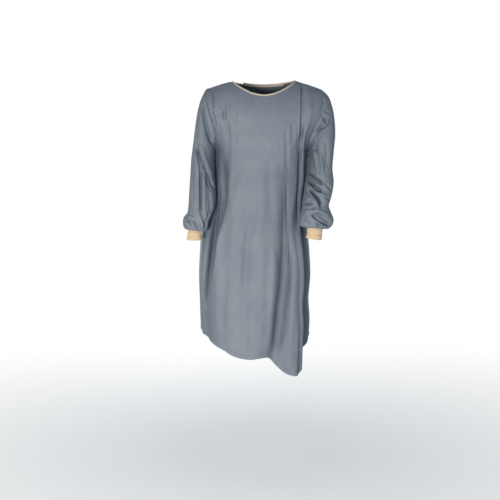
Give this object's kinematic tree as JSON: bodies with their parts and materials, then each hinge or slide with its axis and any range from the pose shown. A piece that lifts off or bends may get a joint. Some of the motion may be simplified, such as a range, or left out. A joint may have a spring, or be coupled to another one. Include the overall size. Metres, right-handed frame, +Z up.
{
  "type": "surgical gown",
  "caption": "Loose knee-length surgical gown in its worn form, with long sleeves, knit cuffs, a bound round neck and a back that overlaps and ties.",
  "frame": {"origin": "midway between the two points where the shoulder seams meet the neck, which rest on the wearer's shoulders", "axes": "+Z up; the gown's front faces -Y; +X towards the wearer's left"},
  "size_m": [0.597, 0.3406, 1.1588],
  "materials": {
    "gown_cloth": "matte nonwoven cloth",
    "cuff_knit": "soft ribbed knit",
    "binding_knit": "soft knit tape",
    "tab_hook": "hook tape"
  },
  "bodies": {
    "root": {"front_panel": "gown_cloth", "back_panel_left": "gown_cloth", "back_panel_right": "gown_cloth", "sleeve_left": "gown_cloth", "sleeve_right": "gown_cloth", "cuff_left": "cuff_knit", "cuff_right": "cuff_knit", "neck_binding": "binding_knit", "neck_tab": "tab_hook", "waist_tie_left": "gown_cloth", "waist_tie_right": "gown_cloth", "waist_knot": "gown_cloth", "tie_end_left": "gown_cloth", "tie_end_right": "gown_cloth"}
  },
  "joints": []
}
